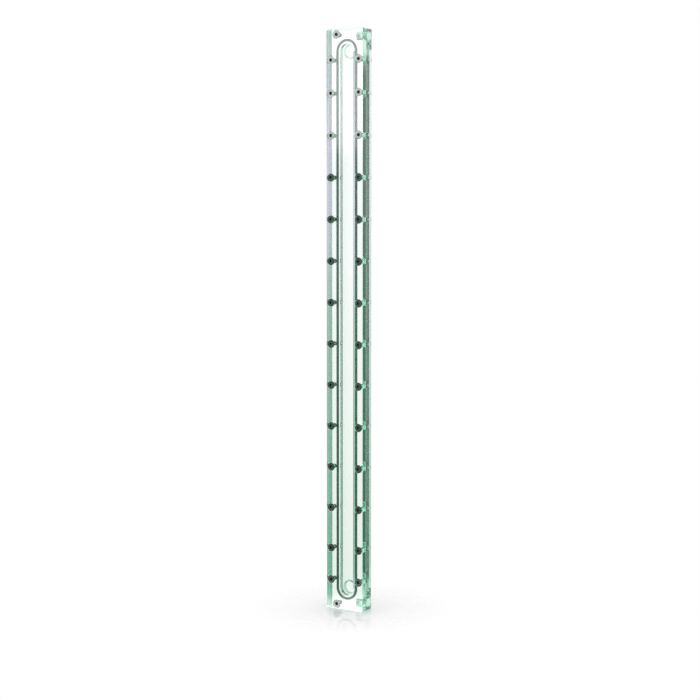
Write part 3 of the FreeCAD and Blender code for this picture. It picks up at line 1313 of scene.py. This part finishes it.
@dataclass
class ScrewRow:
    """A group of countersunk socket screws.

    Args:
        name: The name of the piece.
        node: The node that it stands for.
        places: Where the screws stand, as (count, 2).
        seed: What sets the turn of each screw.
        head_level: The level of the heads' flats.
        length: The length from the flat to the tip.
        head_radius: The radius of the head.
        head_rim: How far in from that radius each point of the rounded rim lies, and how deep.
        head_cone: The depths at which the head's cone starts and ends.
        socket: Half the width of the hexagon across its flats.
        socket_depth: The depth of the hexagon.
        socket_bevel: The depth of the bevel at its mouth.
        socket_mouth: The radius of that mouth.
        socket_lip: The width of the lip round the mouth.
        drill_radius: The radius of the drill's cone under the hexagon.
        drill_depth: The depth of that cone.
        thread_crest: The radius of the thread's crests.
        thread_root: The radius of its roots.
        thread_pitch: The pitch of the thread.
        thread_start: The depth where the thread starts.
        thread_run_out: The length over which it fades, in pitches.
        tip_bevel: The size of the cone at the tip.
        steps: How many steps a screw has round its axis.
        rows_a_pitch: How many rows a pitch has.
        sharp_from: The angle in degrees from which an edge stays sharp.
    """

    name: str
    node: str
    places: Array
    seed: int
    head_level: float = HEAD_LEVEL
    length: float = round(TIP_LEVEL - HEAD_LEVEL, SIZE_DIGITS)
    head_radius: float = 3.75
    head_rim: tuple[Point, ...] = ((0.16, 0.0), (0.09, 0.0), (0.02, 0.03), (0.0, 0.09))
    head_cone: Span = (0.15, 1.85)
    socket: float = 1.25
    socket_depth: float = 1.5
    socket_bevel: float = 0.14
    socket_mouth: float = 1.56
    socket_lip: float = 0.05
    drill_radius: float = 0.9
    drill_depth: float = 0.35
    thread_crest: float = 1.98
    thread_root: float = 1.58
    thread_pitch: float = 0.7
    thread_start: float = 2.15
    thread_run_out: float = 0.8
    tip_bevel: float = 0.5
    steps: int = 42
    rows_a_pitch: int = 7
    sharp_from: float = 40.0

    def hexagon(self, angles: Array) -> Array:
        """Its radius: half the width across flats over the cosine of the angle from a flat's middle."""
        sixth = FULL_TURN / 6
        return self.socket / np.cos(angles % sixth - sixth / 2)

    def head(self, angles: Array) -> tuple[Array, Array]:
        """Radius and depth of the head's skin, row by row, from the socket's floor to the cone's end.

        The socket is a hexagon with a round mouth. The head is a flat, a rounded rim and a cone of
        90 degrees.

        Args:
            angles: The angles of the steps round the axis.

        Returns:
            Radii as (rows, steps) and depths as (rows,).
        """
        cone_start, cone_end = self.head_cone
        inner = [
            (self.drill_radius, self.socket_depth),
            (self.hexagon(angles), self.socket_depth),
            (self.hexagon(angles), self.socket_bevel),
            (self.socket_mouth, 0.0),
            (self.socket_mouth + self.socket_lip, 0.0),
        ]
        rim = [(self.head_radius - way_in, depth) for way_in, depth in self.head_rim]
        cone = [
            (self.head_radius, cone_start),
            (self.head_radius - (cone_end - cone_start), cone_end),
        ]
        rows = inner + rim + cone
        radii = np.stack([np.broadcast_to(radius, angles.shape) for radius, _ in rows])
        return radii, np.array([depth for _, depth in rows])

    def shank(self, angles: Array) -> tuple[Array, Array]:
        """Radius and depth of the threaded shank, row by row, down to the tip.

        The radius is the thread's root plus its height, cut down to a cone of 45 degrees at the tip.

        Args:
            angles: The angles of the steps round the axis.

        Returns:
            Radii as (rows, steps) and depths as (rows,).
        """
        turns = (self.length - self.thread_start) / self.thread_pitch
        depths = np.linspace(self.thread_start, self.length, round(turns * self.rows_a_pitch) + 1)
        run_out = self.thread_pitch * self.thread_run_out
        ridge = thread_height(depths, angles, self.thread_pitch, run_out)
        body = self.thread_root + (self.thread_crest - self.thread_root) * ridge
        tip = self.thread_crest - np.clip(depths - (self.length - self.tip_bevel), 0, None)
        return np.minimum(body, tip[:, None]), depths

    def skin_triangles(self, rows: int) -> Array:
        """The triangles of one screw: its grid, and a fan at each of its two poles.

        Args:
            rows: How many rows the skin has. The socket's pole comes after it, then the tip's.

        Returns:
            Point numbers as (triangles, 3).
        """
        first = np.arange(self.steps)
        second = (first + 1) % self.steps
        last, pole = (rows - 1) * self.steps, rows * self.steps
        floor = np.stack([np.full(self.steps, pole), second, first], -1)
        tip = np.stack([np.full(self.steps, pole + 1), last + first, last + second], -1)
        return np.concatenate([grid_triangles(rows, self.steps, ring=True), floor, tip])

    def build(self) -> bpy.types.Object:
        """Turns one skin for all the screws, each at its own angle, and closes its two poles.

        A point lies at its place plus its radius times the direction of its angle and the screw's
        own turn, at its depth behind the head's flat. Each point keeps its distance from the axis.

        Returns:
            The group as one piece.
        """
        angles = np.arange(self.steps) * FULL_TURN / self.steps
        radii, depths = (np.concatenate(parts) for parts in zip(self.head(angles), self.shank(angles)))
        count = len(self.places)
        turn = np.random.default_rng(self.seed).uniform(0, FULL_TURN, count)
        angle = angles[None, None] + turn[:, None, None]
        x = self.places[:, 0, None, None] + radii * np.cos(angle)
        z = self.places[:, 1, None, None] + radii * np.sin(angle)
        y = np.broadcast_to(self.head_level + depths[None, :, None], x.shape)
        skin = np.stack([x, y, z], -1).reshape(count, -1, 3)
        pole_depths = np.array([self.socket_depth + self.drill_depth, self.length])
        pole_levels = self.head_level + pole_depths[None]
        poles = np.stack(np.broadcast_arrays(self.places[:, :1], pole_levels, self.places[:, 1:]), -1)
        points = np.concatenate([skin, poles], axis=1)
        one = outward(points[0], self.skin_triangles(len(depths)))
        offsets = np.arange(count)[:, None, None] * points.shape[1]
        mesh = new_mesh(self.name, points, one[None] + offsets)
        layer = mesh.attributes.new(RADIUS_LAYER, "FLOAT", "POINT")
        from_axis = np.append(radii.ravel(), np.zeros_like(pole_depths)) * METRES
        layer.data.foreach_set("value", np.tile(from_axis, count))
        return placed(mesh, self.sharp_from)

    def dress(self, thing: bpy.types.Object, steel: bpy.types.Material) -> None:
        """Gives the screws their black oxide."""
        thing.data.materials.append(steel)
        hand_over(thing, self.node)


# Studio


@dataclass(frozen=True)
class StudioSky:
    """A studio set up for one view: white walls, a bright panel front left and dim, greenish ground.

    It isn't an even light. Each table gives the colour that light finds by height, the sine of its
    elevation. Which table holds depends on whether a face mirrored the light or it passed through
    the plates, and on how often it was reflected inside. The tables were fitted by comparing
    renders with the photograph.

    Args:
        straight: What is seen straight through the clear plates.
        right: What light finds to the rear right after a reflection inside the plates.
        front: What light finds in front after a reflection inside the plates.
        panel: What the plates' faces mirror from the panel in front.
        around: What they mirror from everywhere else.
        deep: The share that is left after some reflections inside, by height.
        deep_between: From how many reflections on that share sets in, and by how many it is full.
        glow: The share that is left after many reflections, where the path is long and green.
        glow_from: From how many reflections on that share holds.
        inner: The light that reaches what scatters inside the plates.
        once: The number of reflections or scatterings from which there has been one.
        step: How far each side of such a number the change reaches.
        panel_sides: The panel's left and right side, as the sine of the angle from straight ahead.
        panel_blur: How far its sides are blurred.
        span: The largest height in the tables.
        softness: How far one side of the studio reaches into the next.
    """

    straight: dict[float, Colour]
    right: dict[float, Colour]
    front: dict[float, Colour]
    panel: dict[float, Colour]
    around: dict[float, Colour]
    deep: dict[float, Colour]
    deep_between: Span = (2.0, 3.4)
    glow: Colour = (0.35, 0.85, 0.60)
    glow_from: float = 6.5
    inner: Colour = (1.5, 1.5, 1.5)
    once: float = 0.5
    step: float = 0.1
    panel_sides: Span = (-0.64, -0.36)
    panel_blur: float = 0.05
    span: float = 0.6
    softness: float = 0.15

    def by_height(
        self, board: Board, height: bpy.types.NodeSocket, table: dict[float, Colour]
    ) -> bpy.types.NodeSocket:
        """A table as a colour ramp over the height.

        Args:
            board: The board of the world.
            height: The height, from minus the span to the span.
            table: The colour at each height.

        Returns:
            The colour socket.
        """
        stops = {(z + self.span) / (2 * self.span): colour for z, colour in table.items()}
        return board.ramp(board.spread(height, -self.span, self.span), stops)

    def from_count(
        self, board: Board, counter: bpy.types.NodeSocket, number: float
    ) -> bpy.types.NodeSocket:
        """0 while a counter is below a number, and 1 above it."""
        return board.spread(counter, number - self.step, number + self.step)

    def seen_inside(
        self, board: Board, path: bpy.types.Node, place: bpy.types.Node
    ) -> bpy.types.NodeSocket:
        """What light finds once it has left the clear plates.

        Args:
            board: The board of the world.
            path: The node that counts reflections and scatterings.
            place: The node that gives the direction's X, Y and Z.

        Returns:
            The colour socket.
        """
        x, y, height = (place.outputs[name] for name in "XYZ")
        to_rear = board.spread(y, -self.softness, self.softness)
        to_right = board.spread(x, -self.softness, self.softness)
        straight = self.by_height(board, height, self.straight)
        rear = board.mixed(to_right, straight, self.by_height(board, height, self.right))
        inside = board.mixed(to_rear, self.by_height(board, height, self.front), rear)
        depth = path.outputs["Glossy Depth"]
        through = board.mixed(self.from_count(board, depth, self.once), straight, inside)
        longest = self.from_count(board, depth, self.glow_from)
        share = board.mixed(longest, self.by_height(board, height, self.deep), opaque(self.glow))
        often = board.spread(depth, *self.deep_between)
        faded = board.mixed(often, through, share, "MULTIPLY")
        scattered = self.from_count(board, path.outputs["Diffuse Depth"], self.once)
        return board.mixed(scattered, faded, opaque(self.inner))

    def mirrored(self, board: Board, place: bpy.types.Node) -> bpy.types.NodeSocket:
        """What the plates' faces mirror: the panel between its sides, and the rest around it.

        Args:
            board: The board of the world.
            place: The node that gives the direction's X, Y and Z.

        Returns:
            The colour socket.
        """
        x, y, height = (place.outputs[name] for name in "XYZ")
        left, right = self.panel_sides
        shares = (
            board.spread(x, left - self.panel_blur, left, 1.0, 0.0),
            board.spread(x, right, right + self.panel_blur),
            board.spread(y, -self.softness, self.softness),
        )
        around = self.by_height(board, height, self.around)
        colour = self.by_height(board, height, self.panel)
        for share in shares:
            colour = board.mixed(share, colour, around)
        return colour

    def build(self) -> None:
        """Makes the world: white for what the camera and the floor see, and the tables for the rest."""
        world = bpy.data.worlds.new("studio")
        bpy.context.scene.world = world
        world.use_nodes = True
        board = Board(world.node_tree)
        place = board.node("SeparateXYZ", Vector=board.output("TexCoord", "Generated"))
        path = board.node("LightPath")
        inside = self.seen_inside(board, path, place)
        seen = board.mixed(path.outputs["Is Transmission Ray"], opaque(WHITE), inside)
        mirrored = self.mirrored(board, place)
        seen = board.mixed(path.outputs["Is Reflection Ray"], seen, mirrored)
        board.fill(world.node_tree.nodes["Background"], {"Color": seen})


def grey(value: float) -> Colour:
    """An even grey."""
    return (value, value, value)


STUDIO_SKY = StudioSky(
    straight={-0.22: (0.90, 0.94, 0.91), -0.03: WHITE},
    right={
        -0.300: (0.85, 0.95, 0.90),
        -0.252: (0.46, 0.60, 0.53),
        -0.236: (0.14, 0.42, 0.28),
        -0.070: (0.29, 0.49, 0.39),
        0.010: (0.67, 0.61, 0.78),
        0.034: (0.68, 0.62, 0.79),
        0.047: (0.43, 0.37, 0.53),
        0.090: (0.19, 0.26, 0.30),
        0.120: (0.17, 0.29, 0.27),
        0.165: (0.90, 0.95, 0.93),
    },
    front={
        -0.300: (0.80, 0.95, 0.88),
        -0.245: (0.64, 0.95, 0.80),
        -0.225: (0.46, 0.66, 0.56),
        0.000: (0.90, 0.94, 0.92),
        0.090: grey(1.05),
    },
    panel={
        -0.340: grey(0.4),
        -0.300: grey(7.2),
        -0.2420: grey(7.2),
        -0.2385: (0.50, 0.85, 0.62),
        -0.110: (0.62, 0.98, 0.74),
        0.036: (0.80, 1.05, 0.98),
        0.050: grey(6.3),
        0.150: grey(6.3),
        0.250: grey(0.8),
    },
    around={
        -0.20: (0.30, 0.70, 0.50),
        -0.05: (0.50, 0.75, 0.62),
        0.01: (0.80, 0.82, 0.90),
        0.15: WHITE,
    },
    deep={
        -0.240: (0.75, 0.96, 0.86),
        -0.228: (0.03, 0.08, 0.05),
        0.092: (0.03, 0.08, 0.05),
        0.104: (0.75, 0.96, 0.86),
    },
)


@dataclass(frozen=True)
class Studio:
    """The floor, the camera and how far light is followed. Sizes are in metres.

    Args:
        floor_gap: How far the floor lies under the plate's foot.
        floor_half: Half the floor's width.
        floor_colour: The colour of the floor.
        floor_lift: The light that the floor gives off, so that it is nearly as white as the studio.
        floor_roughness: Its roughness.
        floor_gloss: Its specular level.
        solid_to: How far from the plate's middle the floor is solid.
        fades_by: How far from there it has melted into the white.
        eye: Where the camera stands.
        pitch: How far the camera is tipped up from straight down, in degrees.
        heading: How far it is turned to the left, in degrees.
        focal_pixels: The focal length over the width of a pixel of the picture.
        picture_width: The width of the picture in pixels.
        sensor: The width of the camera's sensor in millimetres.
        bounces: How many turns light may take in all, and through clear surfaces.
        glossy_bounces: How many of them may be reflections.
        clear_bounces: How many clear layers without refraction it may cross.
    """

    floor_gap: float = 0.0002
    floor_half: float = 3.0
    floor_colour: Colour = (0.82, 0.82, 0.82)
    floor_lift: float = 0.10
    floor_roughness: float = 0.05
    floor_gloss: float = 0.45
    solid_to: float = 0.03
    fades_by: float = 0.095
    eye: tuple[float, float, float] = (0.7153, -1.2426, 0.0985)
    pitch: float = 85.069
    heading: float = 30.05
    focal_pixels: float = 1557.8
    picture_width: int = 700
    sensor: float = 36.0
    bounces: int = 32
    glossy_bounces: int = 24
    clear_bounces: int = 16

    def lay_floor(self) -> None:
        """Lays a flat pale floor that melts into the white round it."""
        side = np.array([-self.floor_half, self.floor_half]) / METRES
        x, y = np.meshgrid(side, side)
        level = np.full_like(x, -HALF_HEIGHT - self.floor_gap / METRES)
        corners = np.stack([x, y, level], -1)
        mesh = new_mesh("studio_floor", corners, grid_triangles(2, 2, ring=False))
        floor = bpy.data.objects.new("studio_floor", mesh)
        bpy.context.scene.collection.objects.link(floor)
        floor.visible_glossy = False
        floor.visible_transmission = False
        mesh.materials.append(self.floor_finish())
        log.info("studio_floor: stage")

    def floor_finish(self) -> bpy.types.Material:
        """A pale satin floor that turns clear with the distance from the upright through the origin.

        Returns:
            The material.
        """
        level_only = (1, 1, 0)
        material, board, shader = new_material("pale_floor")
        board.fill(
            shader,
            {
                "Base Color": opaque(self.floor_colour),
                "Roughness": self.floor_roughness,
                "Specular IOR Level": self.floor_gloss,
                "Emission Color": opaque(WHITE),
                "Emission Strength": self.floor_lift,
            },
        )
        place = board.output("TexCoord", "Object")
        flat = board.worked_out("VectorMath", "Vector", "MULTIPLY", (place, level_only))
        distance = board.worked_out("VectorMath", "Value", "LENGTH", (flat,))
        mix = board.node("MixShader", Fac=board.spread(distance, self.solid_to, self.fades_by))
        layers = (shader.outputs["BSDF"], board.output("BsdfTransparent", "BSDF"))
        for socket, layer in zip(mix.inputs[1:], layers):
            board.join(socket, layer)
        board.finish("Surface", mix.outputs["Shader"])
        return material

    def set_camera(self) -> None:
        """Stands the camera where the photograph was taken from."""
        lens = bpy.data.cameras.new("studio_camera")
        lens.sensor_width = self.sensor
        lens.lens = self.sensor * self.focal_pixels / self.picture_width
        camera = bpy.data.objects.new("studio_camera", lens)
        camera.location = self.eye
        camera.rotation_euler = (math.radians(self.pitch), 0.0, math.radians(self.heading))
        bpy.context.scene.collection.objects.link(camera)
        bpy.context.scene.camera = camera

    def set_light_paths(self) -> None:
        """Lets light take enough turns inside the clear plates, and keeps whites white."""
        scene = bpy.context.scene
        scene.cycles.max_bounces = self.bounces
        scene.cycles.glossy_bounces = self.glossy_bounces
        scene.cycles.transmission_bounces = self.bounces
        scene.cycles.transparent_max_bounces = self.clear_bounces
        scene.cycles.use_denoising = True
        scene.view_settings.view_transform = "Standard"


def main() -> None:
    """Builds the plate piece by piece, then the studio."""
    logging.basicConfig(level=logging.INFO, format="%(message)s")
    form, screws, channel = PlateForm(), ScrewPattern(), ChannelForm()
    acrylic = {surface: finish.material() for surface, finish in ACRYLIC.items()}
    rubber, steel = SealRubber().material(), BlackSteel().material()
    for plate in (BasePlate(form, screws, channel=channel), FrontCover(form, screws)):
        plate.dress(plate.build(), acrylic)
    seal = ChannelSeal(screws, channel)
    seal.dress(seal.build(), rubber)
    rows = (
        ScrewRow("left_screw_row", "left_edge_screws", screws.edge(-1), seed=11),
        ScrewRow("right_screw_row", "right_edge_screws", screws.edge(1), seed=12),
        ScrewRow("end_screw_pair", "end_screws", screws.ends(), seed=13),
    )
    for row in rows:
        row.dress(row.build(), steel)
    studio = Studio()
    studio.lay_floor()
    studio.set_camera()
    studio.set_light_paths()
    STUDIO_SKY.build()


if __name__ == "__main__":
    main()
